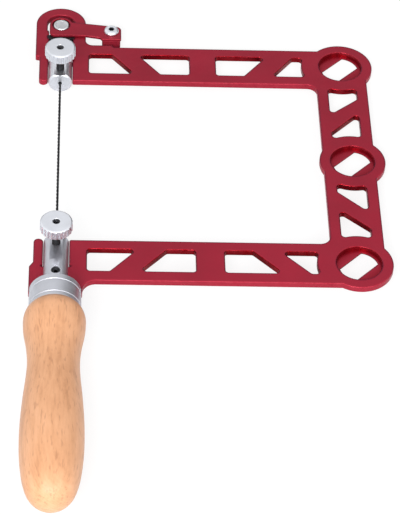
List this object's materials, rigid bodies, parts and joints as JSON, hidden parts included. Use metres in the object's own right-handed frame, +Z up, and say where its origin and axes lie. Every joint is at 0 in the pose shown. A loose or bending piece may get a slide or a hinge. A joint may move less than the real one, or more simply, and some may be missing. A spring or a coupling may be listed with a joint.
{
  "type": "fret saw",
  "caption": "Hand fret saw with a flat pierced metal frame, a spiral blade held by two screw clamps, a cam lever that tightens it and a turned wooden handle.",
  "frame": {"origin": "middle of the saw's footprint on the table, with the saw lying on its back", "axes": "+Y along the blade from the handle to the head, +X from the blade toward the spine, +Z up out of the table; the frame plate leans 1.30 degrees about Y and dips 2.74 degrees toward the head, as it rests on handle, pivot pin and upper disc"},
  "size_m": [0.175, 0.3316, 0.0326],
  "materials": {
    "red_anodised": "satin anodised",
    "aluminium": "turned, fine lines",
    "steel": "brushed",
    "black_steel": "black oxide",
    "brass": "turned",
    "wood": "clear satin varnish"
  },
  "bodies": {
    "body": {"frame": "red_anodised", "cam_bar": "black_steel", "lower_clamp": "aluminium", "clamp_lock_screw": "black_steel", "ferrule": "aluminium", "handle_rod": "steel", "handle_insert": "brass", "handle": "wood", "spiral_blade": "black_steel"},
    "slide": {"upper_clamp": "aluminium", "guide_plate": "red_anodised", "link_plate": "steel", "slide_screws": "black_steel", "pivot_pin": "steel", "pivot_clip": "black_steel"},
    "lever": {"cam_lever": "red_anodised", "lever_block": "red_anodised", "lever_screw": "steel"},
    "upper_press": {"upper_pad": "brass"},
    "upper_thumb": {"upper_screw": "black_steel", "upper_knob": "aluminium"},
    "lower_press": {"lower_pad": "brass"},
    "lower_thumb": {"lower_screw": "black_steel", "lower_knob": "aluminium"}
  },
  "joints": [
    {"name": "clamp_slide", "type": "slide", "parent": "body", "child": "slide", "axis": [-0.0011, 0.9989, -0.0478], "range_m": [-0.0012, 0]},
    {"name": "lever_swing", "type": "hinge", "parent": "slide", "child": "lever", "pos_m": [-0.07327, 0.15095, 0.00439], "axis": [0.0226, 0.0478, 0.9986], "range_deg": [0, 110]},
    {"name": "upper_press_slide", "type": "slide", "parent": "slide", "child": "upper_press", "axis": [0.0226, 0.0478, 0.9986], "range_m": [0, 0.0014]},
    {"name": "upper_screw_turn", "type": "hinge", "parent": "upper_press", "child": "upper_thumb", "pos_m": [-0.07305, 0.11428, 0.01415], "axis": [0.0226, 0.0478, 0.9986], "range_deg": [0, 720]},
    {"name": "lower_press_slide", "type": "slide", "parent": "body", "child": "lower_press", "axis": [0.0226, 0.0478, 0.9986], "range_m": [0, 0.0014]},
    {"name": "lower_screw_turn", "type": "hinge", "parent": "lower_press", "child": "lower_thumb", "pos_m": [-0.07292, -0.01068, 0.02013], "axis": [0.0226, 0.0478, 0.9986], "range_deg": [0, 720]}
  ],
  "couplings": [
    {"joint": "clamp_slide", "follows": "lever_swing", "m_per_rad": -0.00062504},
    {"joint": "upper_press_slide", "follows": "upper_screw_turn", "m_per_rad": 0.00011141},
    {"joint": "lower_press_slide", "follows": "lower_screw_turn", "m_per_rad": 0.00011141}
  ]
}
